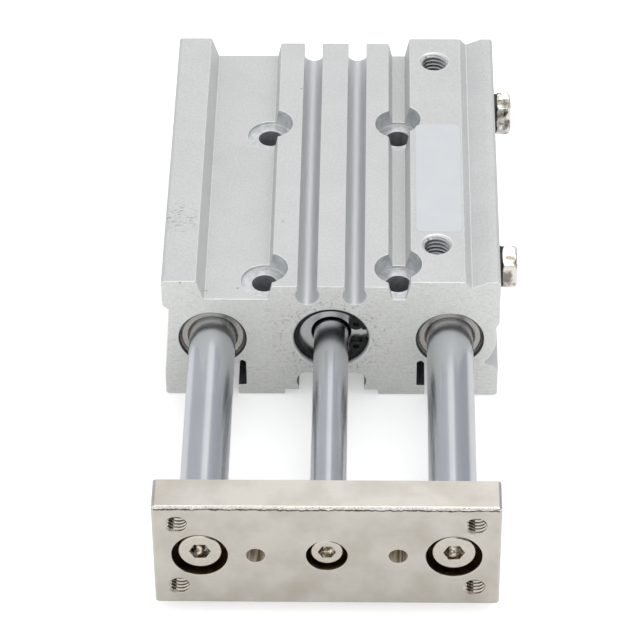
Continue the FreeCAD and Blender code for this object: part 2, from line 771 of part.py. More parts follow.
def make_port_plug(name, depth, turn_angle):
    """A hexagon plug in a side port, and the ring gasket that it clamps."""
    corner = size("plug_across_flats") / math.sqrt(3)
    flat = size("plug_across_flats") / 2
    gasket = size("plug_gasket")
    head = gasket + size("plug_head")
    edge = size("plug_chamfer")
    shank = size("port_tap") / 2 - size("thread_gap")
    turn = FreeCAD.Rotation(Vector(0, 0, 1), -90) * FreeCAD.Rotation(Vector(0, 1, 0), -turn_angle.value)
    plug = new_body(f"port_plug_{name}")
    turn_solid(plug, [(ZERO, -size("plug_shank")), (shank - edge, -size("plug_shank")),
                      (shank, edge - size("plug_shank")), (shank, gasket), (flat, gasket),
                      (corner, gasket + edge / 2), (corner, head - edge), (flat - edge / 2, head), (ZERO, head)])
    flats = sketch_on(plug, "XZ_Plane", "flats", (ZERO, ZERO, -gasket))
    draw_hexagon(flats, size("plug_across_flats"))
    draw_circle(flats, ZERO, ZERO, corner * 2.5)
    cut(plug, flats)
    place(plug, HALF_WIDTH, depth, SIDE_PORT_Z, turn)
    ring = new_body(f"plug_gasket_{name}")
    inner = shank + size("thread_gap")
    outer = inner + size("plug_gasket_width")
    turn_solid(ring, [(inner, ZERO), (outer, ZERO), (outer, gasket), (inner, gasket)])
    place(ring, HALF_WIDTH, depth, SIDE_PORT_Z, turn)


# ---- The moving pieces --------------------------------------------------------------------

def make_plate():
    """The tooling plate: a bar with counterbores for its three bolts, tapped and pin holes."""
    half_x = GUIDE_X + size("guide_bolt_counterbore") / 2 + size("plate_margin")
    half_z = size("plate_height") / 2
    thickness = size("plate_thickness")
    front = (ZERO, ZERO, thickness)
    plate = new_body("tooling_plate")
    outline = sketch_on(plate, "XZ_Plane", "outline")
    draw_outline(outline, [(-half_x, -half_z), (half_x, -half_z), (half_x, half_z), (-half_x, half_z)])
    pad(plate, outline, thickness)
    dress(plate, "Fillet", "corners", size("plate_round"), runs_along_y)
    dress(plate, "Chamfer", "front_edge", size("plate_edge"),
          lambda edge: all(near(vertex.Y, -thickness.value) for vertex in edge.Vertexes))
    bolts = (("guide_bolt", (-GUIDE_X, GUIDE_X)), ("plate_bolt", (ZERO,)))
    for kind, places in bolts:
        seats = sketch_on(plate, "XZ_Plane", f"{kind}_seats", front)
        holes = sketch_on(plate, "XZ_Plane", f"{kind}_holes", front)
        for x in places:
            draw_circle(seats, x, ZERO, size(f"{kind}_counterbore"))
            draw_circle(holes, x, ZERO, size(f"{kind}_clear"))
        cut(plate, seats, size("head_recess") + size(f"{kind}_head_height"))
        cut(plate, holes)
    taps = sketch_on(plate, "XZ_Plane", "taps", front)
    for x in (size("tool_inset") - half_x, half_x - size("tool_inset")):
        for z in (size("tool_inset") - half_z, half_z - size("tool_inset")):
            draw_circle(taps, x, z, size("tool_tap"))
    cut(plate, taps)
    pins = sketch_on(plate, "XZ_Plane", "pins", front)
    for x in (-size("pin_offset"), size("pin_offset")):
        draw_circle(pins, x, ZERO, size("pin_hole"))
    cut(plate, pins, size("pin_depth"))
    place(plate, ZERO, PLATE_BACK, AXIS)


def make_bolt(label, kind, x):
    """A socket head bolt, from the face of its head to the end of its shank."""
    head = size(f"{kind}_head") / 2
    height = size(f"{kind}_head_height")
    shank = size(f"{kind}_core") / 2 - size("thread_gap")
    web = size("plate_thickness") - size("head_recess") - height
    end = height + web + size(f"{kind}_grip")
    edge = size("bolt_edge")
    bolt = new_body(label)
    turn_solid(bolt, [(ZERO, ZERO), (head - edge, ZERO), (head, edge, edge), (head, height),
                      (shank, height), (shank, end), (ZERO, end)])
    socket = sketch_on(bolt, "XZ_Plane", "socket")
    draw_hexagon(socket, size(f"{kind}_key"))
    cut(bolt, socket, size(f"{kind}_key_depth"))
    place(bolt, x, PLATE_BACK - size("plate_thickness") + size("head_recess"), AXIS)


def tapped_end(kind):
    """Corners of the drilled end that a bolt screws into, from its floor out to the face."""
    core = size(f"{kind}_core") / 2
    depth = size(f"{kind}_tap_depth")
    return [(ZERO, depth + core / 2), (core, depth), (core, ZERO)]


def make_guide_rod(label, side):
    radius = size("guide_rod") / 2
    edge = size("rod_chamfer")
    length = LENGTH + size("closed_gap")
    body = new_body(label)
    turn_solid(body, tapped_end("guide_bolt")
               + [(radius - edge, ZERO), (radius, edge), (radius, length - edge),
                  (radius - edge, length), (ZERO, length)])
    place(body, GUIDE_X * side, PLATE_BACK, AXIS)


def make_piston_rod():
    """The piston rod, with a thinner spigot that the piston and its rings are stacked on."""
    radius = size("piston_rod") / 2
    spigot = size("piston_spigot") / 2
    edge = size("rod_chamfer")
    shoulder = PISTON_FRONT + size("bumper") - PLATE_BACK
    end = PISTON_FRONT + STACK - size("spigot_recess") - PLATE_BACK
    body = new_body("piston_rod")
    turn_solid(body, tapped_end("plate_bolt")
               + [(radius - edge, ZERO), (radius, edge), (radius, shoulder), (spigot, shoulder),
                  (spigot, end - edge), (spigot - edge, end), (ZERO, end)])
    place(body, ZERO, PLATE_BACK, AXIS)


def make_stacked_ring(label, depth, length, inner, outer):
    """A plain ring on the piston's spigot or hub."""
    body = new_body(label)
    turn_solid(body, [(inner, ZERO), (outer, ZERO), (outer, length), (inner, length)])
    place(body, ZERO, depth, AXIS)


def make_piston():
    """The piston with the groove for its seal and the hub for its magnet."""
    outer = size("bore") / 2 - size("piston_side_gap")
    length = size("piston_length")
    floor = outer - size("piston_seal_depth")
    seal_front = (length - size("piston_seal_width")) / 2
    seal_back = seal_front + size("piston_seal_width")
    spigot = size("piston_spigot") / 2
    hub = size("piston_hub") / 2
    depth = PISTON_FRONT + size("bumper")
    body = new_body("piston")
    turn_solid(body, [(spigot, ZERO), (outer, ZERO), (outer, seal_front), (floor, seal_front),
                      (floor, seal_back), (outer, seal_back), (outer, length), (hub, length),
                      (hub, length + size("magnet_length")), (spigot, length + size("magnet_length"))])
    place(body, ZERO, depth, AXIS)
    lip = size("bore") / 2 - size("running_clearance")
    width = size("piston_seal_width")
    seal = new_body("piston_seal")
    turn_solid(seal, [(floor, ZERO), (outer, ZERO), (lip, width / 3), (lip, width * 2 / 3),
                      (outer, width), (floor, width)])
    place(seal, ZERO, depth + seal_front, AXIS)
    magnet_front = depth + length
    make_stacked_ring("piston_magnet", magnet_front, size("magnet_length"), hub, outer)
    holder_front = magnet_front + size("magnet_length")
    make_stacked_ring("magnet_holder", holder_front, size("magnet_holder"), spigot, outer)
    bumper = size("bumper_diameter") / 2
    make_stacked_ring("rod_side_bumper", PISTON_FRONT, size("bumper"), size("piston_rod") / 2, bumper)
    make_stacked_ring("head_side_bumper", holder_front + size("magnet_holder"), size("bumper"),
                      spigot, bumper)


# ---- The whole cylinder -------------------------------------------------------------------

make_body_block()
for hand, way in (("left", -1), ("right", 1)):
    make_bush(f"guide_bush_front_{hand}", way, size("bush_inset"))
    make_bush(f"guide_bush_inner_{hand}", way, size("guide_bore_depth") - size("bush_length"))
    make_guide_rod(f"guide_rod_{hand}", way)
    make_bolt(f"guide_bolt_{hand}", "guide_bolt", GUIDE_X * way)
make_collar()
make_rod_seal()
make_gasket("collar_gasket", COLLAR_FRONT + size("gasket_inset"))
make_retaining_ring("collar_retaining_ring", size("ring_inset"))
make_head_cover()
make_gasket("cover_gasket", COVER_FRONT + size("cover_gasket_inset"))
make_retaining_ring("cover_retaining_ring", COVER_BACK)
make_port_plug("front", size("port_front"), size("plug_turn_front"))
make_port_plug("rear", SIDE_PORT_REAR, size("plug_turn_rear"))
make_plate()
make_bolt("plate_bolt", "plate_bolt", ZERO)
make_piston_rod()
make_piston()
doc.recompute()

for item in doc.Objects:
    if "Invalid" in item.State or "Error" in item.State:
        raise RuntimeError(f"{item.Name} did not build: {item.State}")
pieces = [item for item in doc.Objects if item.TypeId == "PartDesign::Body"]
for piece in pieces:
    if piece.Shape.isNull() or not piece.Shape.isValid() or len(piece.Shape.Solids) != 1:
        raise RuntimeError(f"{piece.Label} is not one good solid")
os.makedirs("parts", exist_ok=True)
for piece in pieces:
    piece.Shape.exportStep(f"parts/{piece.Label}.step")
print(f"{len(pieces)} pieces written")
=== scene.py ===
from math import pi, radians

import bpy
from mathutils import Matrix, Vector


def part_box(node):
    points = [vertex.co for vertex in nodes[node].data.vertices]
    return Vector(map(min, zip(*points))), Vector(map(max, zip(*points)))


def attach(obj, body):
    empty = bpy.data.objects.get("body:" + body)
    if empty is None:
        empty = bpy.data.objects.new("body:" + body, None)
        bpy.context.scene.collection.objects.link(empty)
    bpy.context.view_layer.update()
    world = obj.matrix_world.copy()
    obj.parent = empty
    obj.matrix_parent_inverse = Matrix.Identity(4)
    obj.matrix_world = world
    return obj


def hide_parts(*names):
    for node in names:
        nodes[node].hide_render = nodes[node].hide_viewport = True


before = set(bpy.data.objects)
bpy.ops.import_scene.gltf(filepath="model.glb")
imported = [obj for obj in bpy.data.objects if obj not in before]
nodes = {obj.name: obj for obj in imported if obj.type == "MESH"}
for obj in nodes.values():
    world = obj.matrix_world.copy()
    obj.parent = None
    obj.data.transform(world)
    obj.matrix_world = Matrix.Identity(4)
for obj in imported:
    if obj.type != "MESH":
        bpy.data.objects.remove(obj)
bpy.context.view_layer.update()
bpy.ops.object.select_all(action="DESELECT")

# ---------------------------------------------------------------------------
# Cylinder body: an aluminium extrusion, sawn to length, bored and drilled, then
# bead-blasted and clear anodised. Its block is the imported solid's own; the M5
# threads of its ports and bolt holes and the M4 ones of its rear are cut here.
# ---------------------------------------------------------------------------

MM = 0.001
AXIS_Z = 13 * MM


def linear(shade):
    """An sRGB hex colour as the linear colour that a node takes."""
    parts = [int(shade[i:i + 2], 16) / 255 for i in (1, 3, 5)]
    return [p / 12.92 if p <= 0.04045 else ((p + 0.055) / 1.055) ** 2.4 for p in parts] + [1]


def new_finish(name, **shader_values):
    """A material and its shader, with the values that are the same all over it."""
    finish = bpy.data.materials.new(name)
    finish.use_nodes = True
    shader = finish.node_tree.nodes["Principled BSDF"]
    for socket, value in shader_values.items():
        shader.inputs[socket.replace("_", " ").capitalize()].default_value = value
    return finish, shader


def add_node(tree_owner, kind, settings=(), values=(), links=()):
    """One shader node, with its settings, its unlinked inputs and its linked inputs."""
    node = tree_owner.node_tree.nodes.new("ShaderNode" + kind)
    for name, value in dict(settings).items():
        setattr(node, name, value)
    for name, value in dict(values).items():
        node.inputs[name].default_value = value
    for name, socket in dict(links).items():
        tree_owner.node_tree.links.new(node.inputs[name], socket)
    return node


def per(size_mm):
    """The scale that makes a pattern's features this many millimetres across."""
    return 1 / (size_mm * MM)


def join(tree_owner, out_socket, in_socket):
    """Link one node's output to another's input."""
    tree_owner.node_tree.links.new(in_socket, out_socket)


def follow(finish, shader, pattern, shades=(), roughness=(), relief=()):
    """Let a pattern lead the shader's colour, roughness and relief, as far as each is given."""
    if shades:
        tone = add_node(finish, "Mix", {"data_type": "RGBA"}, dict(zip((6, 7), map(linear, shades))), {0: pattern})
        join(finish, tone.outputs[2], shader.inputs["Base Color"])
    if roughness:
        spread = add_node(finish, "MapRange", values=dict(zip(("To Min", "To Max"), roughness)),
                          links={"Value": pattern})
        join(finish, spread.outputs["Result"], shader.inputs["Roughness"])
    if relief:
        bump = add_node(finish, "Bump", values=dict(zip(("Strength", "Distance"), relief)),
                        links={"Height": pattern})
        join(finish, bump.outputs["Normal"], shader.inputs["Normal"])


# Bead-blasted and clear anodised aluminium: a matt, cool pale grey with a grit of
# about 0.3 mm, drawn a little coarser than real, faint die lines along the
# extrusion on its long faces, soft clouds, and a few dark pin-prick pits.
blasted, shader = new_finish("blasted_clear_anodised_aluminium", metallic=0.35)
place = add_node(blasted, "TexCoord")
here = place.outputs["Object"]
grit = add_node(blasted, "TexNoise", values={"Scale": per(0.35), "Detail": 3.0, "Roughness": 0.6},
                links={"Vector": here})
clouds = add_node(blasted, "TexNoise", values={"Scale": per(11), "Detail": 3.0},
                  links={"Vector": here})
stretch = add_node(blasted, "Mapping", values={"Scale": (per(0.5), per(60), per(0.5))},
                   links={"Vector": here})
die_lines = add_node(blasted, "TexNoise", values={"Scale": 1.0, "Detail": 2.0},
                     links={"Vector": stretch.outputs["Vector"]})
facing = add_node(blasted, "SeparateXYZ", links={"Vector": place.outputs["Normal"]})
endwise = add_node(blasted, "Math", {"operation": "ABSOLUTE"}, links={0: facing.outputs["Y"]})
cloud_tone = add_node(blasted, "Mix", {"data_type": "RGBA"},
                      {6: linear("#C5C7C6"), 7: linear("#D4D6D5")}, {0: clouds.outputs["Fac"]})
# Painted light: the sawn front and rear faces are given a lighter tone than the long faces.
painted_light_on_ends = add_node(blasted, "Mix", {"data_type": "RGBA"}, {7: linear("#DBDCD9")},
                    {0: endwise.outputs[0], 6: cloud_tone.outputs[2]})
grit_depth = add_node(blasted, "MapRange",
                      values={"From Min": 0.3, "From Max": 0.7, "To Min": 0.90, "To Max": 1.06},
                      links={"Value": grit.outputs["Fac"]})
gritty = add_node(blasted, "VectorMath", {"operation": "SCALE"},
                  links={0: painted_light_on_ends.outputs[2], "Scale": grit_depth.outputs["Result"]})
pit_cells = add_node(blasted, "TexVoronoi", values={"Scale": per(3.6)}, links={"Vector": here})
pit_spots = add_node(blasted, "MapRange",
                     values={"From Min": 0.035, "From Max": 0.075, "To Min": 1.0, "To Max": 0.0},
                     links={"Value": pit_cells.outputs["Distance"]})
pit_places = add_node(blasted, "TexNoise", values={"Scale": per(14), "Detail": 1.0},
                      links={"Vector": here})
pit_patch = add_node(blasted, "MapRange", values={"From Min": 0.48, "From Max": 0.60, "To Min": 0.0, "To Max": 0.7},
                     links={"Value": pit_places.outputs["Fac"]})
pits = add_node(blasted, "Math", {"operation": "MULTIPLY"},
                links={0: pit_spots.outputs["Result"], 1: pit_patch.outputs["Result"]})
pitted = add_node(blasted, "Mix", {"data_type": "RGBA"}, {7: linear("#6E706C")},
                  {0: pits.outputs[0], 6: gritty.outputs["Vector"]})
# Cutting oil has left a brownish bloom of specks on the front face about the bore.
from_bore = add_node(blasted, "Mapping", values={"Location": (0, 0, -AXIS_Z), "Scale": (1, 0, 1)},
                     links={"Vector": here})
radius = add_node(blasted, "VectorMath", {"operation": "LENGTH"}, links={0: from_bore.outputs["Vector"]})
near_bore = add_node(blasted, "MapRange",
                     values={"From Min": 6.5 * MM, "From Max": 12.5 * MM, "To Min": 1.0, "To Max": 0.0},
                     links={"Value": radius.outputs["Value"]})
oil_specks = add_node(blasted, "TexNoise", values={"Scale": per(0.55), "Detail": 4.0, "Roughness": 0.7},
                      links={"Vector": here})
oil_spots = add_node(blasted, "MapRange",
                     values={"From Min": 0.55, "From Max": 0.66, "To Min": 0.0, "To Max": 0.85},
                     links={"Value": oil_specks.outputs["Fac"]})
oil_here = add_node(blasted, "Math", {"operation": "MULTIPLY"},
                    links={0: near_bore.outputs["Result"], 1: endwise.outputs[0]})
oil_amount = add_node(blasted, "Math", {"operation": "MULTIPLY"},
                      links={0: oil_here.outputs[0], 1: oil_spots.outputs["Result"]})
oiled = add_node(blasted, "Mix", {"data_type": "RGBA"}, {7: linear("#7A7367")},
                 {0: oil_amount.outputs[0], 6: pitted.outputs[2]})
# A knock has left a patch of dark scuffs about 7 mm across on the left strip.
from_knock = add_node(blasted, "Mapping", values={"Location": (26.8 * MM, 8.2 * MM, -26 * MM)},
                      links={"Vector": here})
knock_radius = add_node(blasted, "VectorMath", {"operation": "LENGTH"}, links={0: from_knock.outputs["Vector"]})
near_knock = add_node(blasted, "MapRange",
                      values={"From Min": 2 * MM, "From Max": 5 * MM, "To Min": 1.0, "To Max": 0.0},
                      links={"Value": knock_radius.outputs["Value"]})
lean = add_node(blasted, "Mapping",
                values={"Rotation": (0, 0, radians(35)), "Scale": (per(1.1), per(0.4), per(0.4))},
                links={"Vector": here})
scuff_marks = add_node(blasted, "TexNoise", values={"Scale": 1.0, "Detail": 3.0, "Roughness": 0.7},
                       links={"Vector": lean.outputs["Vector"]})
scuff_spots = add_node(blasted, "MapRange",
                       values={"From Min": 0.56, "From Max": 0.64, "To Min": 0.0, "To Max": 0.75},
                       links={"Value": scuff_marks.outputs["Fac"]})
scuff_amount = add_node(blasted, "Math", {"operation": "MULTIPLY"},
                        links={0: near_knock.outputs["Result"], 1: scuff_spots.outputs["Result"]})
scuffed = add_node(blasted, "Mix", {"data_type": "RGBA"}, {7: linear("#66635D")},
                   {0: scuff_amount.outputs[0], 6: oiled.outputs[2]})
# Fine handling scratches, 2 mm long and 0.15 mm apart, show on the sawn ends.
graze = add_node(blasted, "Mapping", values={"Rotation": (0, radians(8), 0), "Scale": (per(2.4), 1.0, per(0.16))},
                 links={"Vector": here})
graze_marks = add_node(blasted, "TexNoise", values={"Scale": 1.0, "Detail": 3.0, "Roughness": 0.6},
                       links={"Vector": graze.outputs["Vector"]})
graze_depth = add_node(blasted, "MapRange",
                       values={"From Min": 0.58, "From Max": 0.68, "To Min": 0.0, "To Max": 0.55},
                       links={"Value": graze_marks.outputs["Fac"]})
graze_amount = add_node(blasted, "Math", {"operation": "MULTIPLY"},
                        links={0: graze_depth.outputs["Result"], 1: endwise.outputs[0]})
grazed = add_node(blasted, "Mix", {"data_type": "RGBA"}, {7: linear("#A3A4A0")},
                  {0: graze_amount.outputs[0], 6: scuffed.outputs[2]})
join(blasted, grazed.outputs[2], shader.inputs["Base Color"])
sheen_spread = add_node(blasted, "MapRange", values={"To Min": 0.50, "To Max": 0.62},
                        links={"Value": clouds.outputs["Fac"]})
join(blasted, sheen_spread.outputs["Result"], shader.inputs["Roughness"])
lengthwise = add_node(blasted, "Math", {"operation": "SUBTRACT"}, {0: 1.0}, {1: endwise.outputs[0]})
die_height = add_node(blasted, "Math", {"operation": "MULTIPLY"},
                      links={0: die_lines.outputs["Fac"], 1: lengthwise.outputs[0]})
skin = add_node(blasted, "Math", {"operation": "MULTIPLY_ADD"}, {1: 0.5},
                {0: die_height.outputs[0], 2: grit.outputs["Fac"]})
relief = add_node(blasted, "Bump", values={"Strength": 0.5, "Distance": 0.03 * MM},
                  links={"Height": skin.outputs[0]})
join(blasted, relief.outputs["Normal"], shader.inputs["Normal"])

# Broken edges: the same metal rubbed by handling, its colour lightened as a painted highlight along the edges, in
# stretches of 1.5 mm.
rubbed_edges_with_painted_highlight, shader = new_finish("rubbed_aluminium_edges_with_painted_highlight", metallic=0.7)
here = add_node(rubbed_edges_with_painted_highlight, "TexCoord").outputs["Object"]
wear_and_highlight = add_node(rubbed_edges_with_painted_highlight, "TexNoise", values={"Scale": per(1.5), "Detail": 4.0}, links={"Vector": here})
follow(rubbed_edges_with_painted_highlight, shader, wear_and_highlight.outputs["Fac"], shades=("#D2D5D5", "#F4F5F5"), roughness=(0.48, 0.28))

# Sensor grooves: the die's own satin skin, too narrow for the beads to reach, with
# faint die lines 0.4 mm apart.
satin, shader = new_finish("satin_groove_aluminium", metallic=0.74, roughness=0.44)
here = add_node(satin, "TexCoord").outputs["Object"]
squeeze = add_node(satin, "Mapping", values={"Scale": (per(0.4), per(6), per(0.4))}, links={"Vector": here})
die_lines = add_node(satin, "TexNoise", values={"Scale": 1.0, "Detail": 2.0},
                     links={"Vector": squeeze.outputs["Vector"]})
follow(satin, shader, die_lines.outputs["Fac"], shades=("#CFD1D2", "#DEE0E1"), relief=(0.2, 0.01 * MM))

# Bolt holes and their counterbores: bright where the cutter ran after the blasting,
# in patches of 0.9 mm, with its marks 0.4 mm apart.
cutter_bright, shader = new_finish("bright_cut_aluminium", metallic=0.8)
here = add_node(cutter_bright, "TexCoord").outputs["Object"]
tone_patches = add_node(cutter_bright, "TexNoise", values={"Scale": per(0.9), "Detail": 4.0}, links={"Vector": here})
follow(cutter_bright, shader, tone_patches.outputs["Fac"], shades=("#A6AAAC", "#F2F4F6"), roughness=(0.28, 0.42))
squeeze = add_node(cutter_bright, "Mapping", values={"Scale": (per(0.4), per(3), per(0.4))}, links={"Vector": here})
tool_rings = add_node(cutter_bright, "TexNoise", values={"Scale": 1.0, "Detail": 2.0},
                      links={"Vector": squeeze.outputs["Vector"]})
follow(cutter_bright, shader, tool_rings.outputs["Fac"], relief=(0.25, 0.01 * MM))

# Ports and T-slots: bare metal that the blasting did not reach, its colour darkened as painted shade in these deep
# hollows, in blotches of 2 mm, with tool rings 0.2 mm apart.
unblasted_with_painted_shade, shader = new_finish("unblasted_aluminium_with_painted_shade", metallic=0.9)
here = add_node(unblasted_with_painted_shade, "TexCoord").outputs["Object"]
tone_patches = add_node(unblasted_with_painted_shade, "TexNoise", values={"Scale": per(2), "Detail": 3.0}, links={"Vector": here})
follow(unblasted_with_painted_shade, shader, tone_patches.outputs["Fac"], shades=("#9DA1A3", "#C3C6C8"), roughness=(0.25, 0.45))
squeeze = add_node(unblasted_with_painted_shade, "Mapping", values={"Scale": (per(3), per(3), per(0.2))}, links={"Vector": here})
tool_rings = add_node(unblasted_with_painted_shade, "TexNoise", values={"Scale": 1.0, "Detail": 2.0},
                      links={"Vector": squeeze.outputs["Vector"]})
follow(unblasted_with_painted_shade, shader, tool_rings.outputs["Fac"], relief=(0.3, 0.02 * MM))


def edit(piece, mode="FACE"):
    """Start editing one piece with nothing selected on it."""
    bpy.ops.object.select_all(action="DESELECT")
    piece.select_set(True)
    bpy.context.view_layer.objects.active = piece
    bpy.ops.object.mode_set(mode="EDIT")
    bpy.ops.mesh.select_mode(type=mode)
    bpy.ops.mesh.select_all(action="DESELECT")


def pick(piece, kind, chosen):
    """Select the vertices, edges or faces that chosen says yes to, and nothing else."""
    bpy.ops.mesh.select_all(action="DESELECT")
    bpy.ops.object.mode_set(mode="OBJECT")
    for item in getattr(piece.data, kind):
        item.select = bool(chosen(item))
    bpy.ops.object.mode_set(mode="EDIT")


def leave_edit(piece):
    bpy.ops.object.mode_set(mode="OBJECT")
    piece.select_set(False)


def apply_place(piece):
    """Move a piece's place into its mesh."""
    bpy.ops.object.select_all(action="DESELECT")
    piece.select_set(True)
    bpy.context.view_layer.objects.active = piece
    bpy.ops.object.transform_apply(location=True, rotation=True, scale=True)
    piece.select_set(False)


def finish_piece(piece, body, slot, *stands_for, smooth_below=32):
    """Shade a piece, its large faces flat, and fasten it to the body that it moves with."""
    bpy.ops.object.select_all(action="DESELECT")
    piece.select_set(True)
    bpy.context.view_layer.objects.active = piece
    bpy.ops.object.shade_smooth_by_angle(angle=radians(smooth_below))
    flatten = piece.modifiers.new("flatten", "WEIGHTED_NORMAL")
    flatten.mode, flatten.weight, flatten.keep_sharp = "FACE_AREA", 60, True
    bpy.ops.object.modifier_apply(modifier="flatten")
    piece.select_set(False)
    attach(piece, body)
    if stands_for:
        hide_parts(*stands_for)


def copy_solid(node, name, edge_break, finish, edge_finish=None):
    """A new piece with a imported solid's shape, its loose triangles joined into whole faces and its edges broken."""
    piece = bpy.data.objects.new(name, nodes[node].data.copy())
    bpy.context.scene.collection.objects.link(piece)
    piece.data.materials.clear()
    piece.data.materials.append(finish)
    edit(piece, "VERT")
    bpy.ops.mesh.customdata_custom_splitnormals_clear()
    bpy.ops.mesh.select_all(action="SELECT")
    bpy.ops.mesh.remove_doubles(threshold=0.0005 * MM)
    bpy.ops.mesh.mark_sharp(clear=True)
    bpy.ops.mesh.dissolve_limited(angle_limit=radians(0.2))
    leave_edit(piece)
    ease = piece.modifiers.new("ease", "BEVEL")
    ease.width, ease.segments, ease.use_clamp_overlap = edge_break, 3, False
    ease.limit_method, ease.angle_limit, ease.loop_slide = "ANGLE", radians(38), False
    if edge_finish:
        piece.data.materials.append(edge_finish)
        ease.material = 1
    bpy.context.view_layer.objects.active = piece
    bpy.ops.object.modifier_apply(modifier="ease")
    return piece


def refinish_faces(piece, finish, chosen):
    """Give the faces that chosen says yes to a second finish."""
    piece.data.materials.append(finish)
    for face in piece.data.polygons:
        if chosen(face.center, face.normal):
            face.material_index = len(piece.data.materials) - 1


def thread_tool(thread, hole, length, at, turn):
    """A closed threading tool along its own axis, which turn leads from +Z into the hole."""
    (major, pitch), core = thread, hole - SLACK
    bpy.ops.mesh.primitive_plane_add(size=pitch, location=(core / 2, 0, 0), rotation=(pi / 2, 0, 0))
    tool = bpy.context.object
    apply_place(tool)
    edit(tool, "VERT")
    pick(tool, "vertices", lambda v: v.co.x > core / 2)
    bpy.ops.mesh.delete(type="VERT")
    bpy.ops.mesh.select_all(action="SELECT")
    bpy.ops.mesh.subdivide(number_cuts=7)
    eighth = pitch / 8
    pick(tool, "vertices", lambda v: round(v.co.z / eighth) in (-2, -1, 1, 2))
    bpy.ops.mesh.dissolve_verts()
    bpy.ops.mesh.select_all(action="SELECT")
    bpy.ops.transform.translate(value=(pitch / 2, 0, 0))
    pick(tool, "vertices", lambda v: abs(v.co.z) < eighth / 2)
    bpy.ops.transform.translate(value=((major - core) / 2, 0, 0))
    leave_edit(tool)
    wind = tool.modifiers.new("wind", "SCREW")
    wind.axis, wind.screw_offset, wind.iterations = "Z", pitch, int(length / pitch) + 3
    wind.steps = wind.render_steps = 32
    wind.use_merge_vertices, wind.merge_threshold = True, 0.001 * MM
    bpy.context.view_layer.objects.active = tool
    bpy.ops.object.modifier_apply(modifier="wind")
    edit(tool)
    bpy.ops.mesh.select_all(action="SELECT")
    bpy.ops.mesh.remove_doubles(threshold=0.001 * MM)
    for height, outer in ((pitch, False), (pitch + length, True)):
        bpy.ops.mesh.select_all(action="SELECT")
        bpy.ops.mesh.bisect(plane_co=(0, 0, height), plane_no=(0, 0, 1), use_fill=True,
                            clear_inner=not outer, clear_outer=outer, threshold=0.0001 * MM)
    bpy.ops.mesh.select_all(action="SELECT")
    bpy.ops.mesh.normals_make_consistent(inside=False)
    bpy.ops.transform.translate(value=(0, 0, -pitch))
    leave_edit(tool)
    tool.data.transform(Matrix.Translation(at) @ turn)
    return tool


def cut_with(piece, tools):
    """Take the tools' shapes out of a piece, and put the tools away."""
    for tool in tools:
        cut = piece.modifiers.new("cut", "BOOLEAN")
        cut.operation, cut.solver, cut.object = "DIFFERENCE", "MANIFOLD", tool
        bpy.context.view_layer.objects.active = piece
        bpy.ops.object.modifier_apply(modifier="cut")
        bpy.data.objects.remove(tool)


DOWN = Matrix.Rotation(pi, 4, "X")
UP = Matrix.Identity(4)
REARWARD = Matrix.Rotation(-pi / 2, 4, "X")
FORWARD = Matrix.Rotation(pi / 2, 4, "X")
# Each thread's major diameter and its pitch.
M4, M5 = (4.0 * MM, 0.7 * MM), (5.0 * MM, 0.8 * MM)
# A threading tool's core is this much narrower than the hole that it runs in, and
# the tool starts this far outside the face that it cuts into.
SLACK, LEAD = 0.02 * MM, 0.2 * MM

body = copy_solid("body_block", "machined_body", 0.14 * MM, blasted, rubbed_edges_with_painted_highlight)
block_low, block_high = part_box("body_block")
port_spots = [(18.2 * MM, y * MM) for y in (-14.9, 37.05)]
bolt_spots = [(x * MM, y * MM) for x in (-11.5, 11.5) for y in (-20, 20)]
rear_spots = [(x * MM, z * MM) for x in (-25, 25) for z in (4, 22)]
port_core, bolt_core, tap_core = 4.2 * MM, 4.3 * MM, 3.3 * MM
tools = [thread_tool(M5, port_core, 5.3 * MM, (x, y, block_high.z + LEAD), DOWN) for x, y in port_spots]
tools += [thread_tool(M4, tap_core, 9 * MM, (x, block_high.y + LEAD, z), FORWARD) for x, z in rear_spots]
tools += [thread_tool(M5, bolt_core, 10 * MM, (x, y, -LEAD), UP) for x, y in bolt_spots]
cut_with(body, tools)
finish_piece(body, "cylinder", "anodised_body", "body_block", smooth_below=28)

GUIDE_X = 20.5 * MM
GUIDE_MOUTH_RADIUS, GUIDE_MOUTH_DEPTH = 5.7 * MM, 0.9 * MM
SEAT_Z, COUNTERBORE_RADIUS = block_high.z - 4.6 * MM, 4.05 * MM
GROOVE_X, GROOVE_REACH = 4.05 * MM, 2.1 * MM
GROOVE_CEILING, GROOVE_FLOOR = 4.4 * MM, block_high.z - 5.9 * MM
T_SLOT_X, T_SLOT_REACH, T_SLOT_CEILING = 18.5 * MM, 3.7 * MM, 8.8 * MM
# A face counts as lying on a wall when its middle is this near to it. The nearer
# limit is for where another wall is close by.
NEAR, NEARER = 0.3 * MM, 0.2 * MM


def about(spot, spots):
    """How far a point is, seen from above, from the nearest of some holes' axes."""
    return min((spot.xy - Vector(hole)).length for hole in spots)


def in_bolt_hole(spot, normal):
    """On the wall of a bolt hole, under its counterbore."""
    return spot.z < SEAT_Z - NEARER and about(spot, bolt_spots) < 2.7 * MM


def in_counterbore(spot, normal):
    """On the wall of a bolt hole's counterbore."""
    return (spot.z > SEAT_Z - NEAR and abs(normal.z) < 0.5
            and abs(about(spot, bolt_spots) - COUNTERBORE_RADIUS) < NEAR)


def on_seat(spot, normal):
    """On the ring that a bolt's head would sit on."""
    return normal.z > 0.9 and abs(spot.z - SEAT_Z) < NEAR and about(spot, bolt_spots) < COUNTERBORE_RADIUS


def in_sensor_groove(spot, normal):
    """On the inside of a sensor groove, above or below."""
    return (abs(abs(spot.x) - GROOVE_X) < GROOVE_REACH and abs(normal.y) < 0.5
            and (GROOVE_FLOOR < spot.z < block_high.z - NEARER or NEARER < spot.z < GROOVE_CEILING))


def in_t_slot(spot, normal):
    """On the inside of a T-slot, under a guide rod."""
    return (abs(abs(spot.x) - T_SLOT_X) < T_SLOT_REACH and NEAR < spot.z < T_SLOT_CEILING
            and abs(normal.y) < 0.5)


def in_port(spot, normal):
    """On the thread of an air port, under its mouth."""
    return spot.z < block_high.z - 0.5 * MM and about(spot, port_spots) < 2.75 * MM


